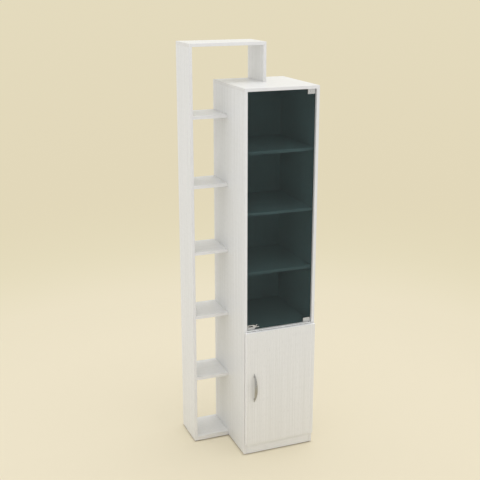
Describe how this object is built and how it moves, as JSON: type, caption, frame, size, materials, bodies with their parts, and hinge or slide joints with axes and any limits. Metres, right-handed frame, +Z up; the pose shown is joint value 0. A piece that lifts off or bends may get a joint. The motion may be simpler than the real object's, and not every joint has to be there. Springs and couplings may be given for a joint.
{
  "type": "display cabinet with side shelves",
  "caption": "Tall narrow cabinet with a tinted glass door above, a solid door below and a shallow open shelf unit along its left side.",
  "frame": {"origin": "centre of the whole object's base, on the floor", "axes": "+Z up, +X to the right as seen from the front, the doors face -Y"},
  "size_m": [0.6, 0.491, 2.164],
  "materials": {
    "white_laminate": "satin white melamine board with a fine upright grain",
    "white_hardboard": "white lacquered hardboard",
    "tinted_glass": "dark tinted float glass with polished edges",
    "chrome": "matt chromed zinc",
    "satin_steel": "satin",
    "grey_plastic": "matt",
    "white_plastic": "matt",
    "clear_rubber": "soft clear",
    "beech": "raw fluted dowel"
  },
  "bodies": {
    "carcass": {"cabinet_left_side": "white_laminate", "cabinet_right_side": "white_laminate", "cabinet_top": "white_laminate", "middle_panel": "white_laminate", "cabinet_bottom": "white_laminate", "front_plinth": "white_laminate", "rear_plinth": "white_laminate", "back_panel": "white_hardboard", "upper_shelf_1": "white_laminate", "upper_shelf_2": "white_laminate", "upper_shelf_3": "white_laminate", "lower_shelf": "white_laminate", "shelf_pins": "satin_steel", "side_upright": "white_laminate", "side_top_panel": "white_laminate", "side_short_upright": "white_laminate", "side_shelf_1": "white_laminate", "side_shelf_2": "white_laminate", "side_shelf_3": "white_laminate", "side_shelf_4": "white_laminate", "side_shelf_5": "white_laminate", "side_base_board": "white_laminate", "glides": "grey_plastic", "dowels": "beech", "cam_locks": "satin_steel", "cam_bolts": "satin_steel", "cam_covers": "white_plastic", "joint_screws": "satin_steel", "screw_caps": "white_plastic", "back_nails": "satin_steel", "pivot_bushes": "grey_plastic", "magnetic_catch": "white_plastic", "catch_screws": "satin_steel", "hinge_arms": "satin_steel", "hinge_arm_screws": "satin_steel", "hinge_plates": "satin_steel", "hinge_plate_screws": "satin_steel"},
    "glass_door": {"glass_pane": "tinted_glass", "glass_hinge_bottom": "chrome", "glass_hinge_top": "chrome", "glass_hinge_pads": "grey_plastic", "clamp_screws": "satin_steel", "clip_handle": "chrome", "clip_pads": "grey_plastic"},
    "lower_door": {"lower_door": "white_laminate", "door_handle": "satin_steel", "handle_screws": "satin_steel", "door_bumpers": "clear_rubber", "hinge_cups": "satin_steel", "hinge_cup_screws": "satin_steel", "hinge_pins": "satin_steel"}
  },
  "joints": [
    {"name": "glass_door_swing", "type": "hinge", "parent": "carcass", "child": "glass_door", "pos_m": [0.2755, -0.182, 1.331], "axis": [0, 0, 1], "range_deg": [0, 100]},
    {"name": "lower_door_swing", "type": "hinge", "parent": "carcass", "child": "lower_door", "pos_m": [0.2885, -0.21, 0.388], "axis": [0, 0, 1], "range_deg": [0, 95]}
  ]
}
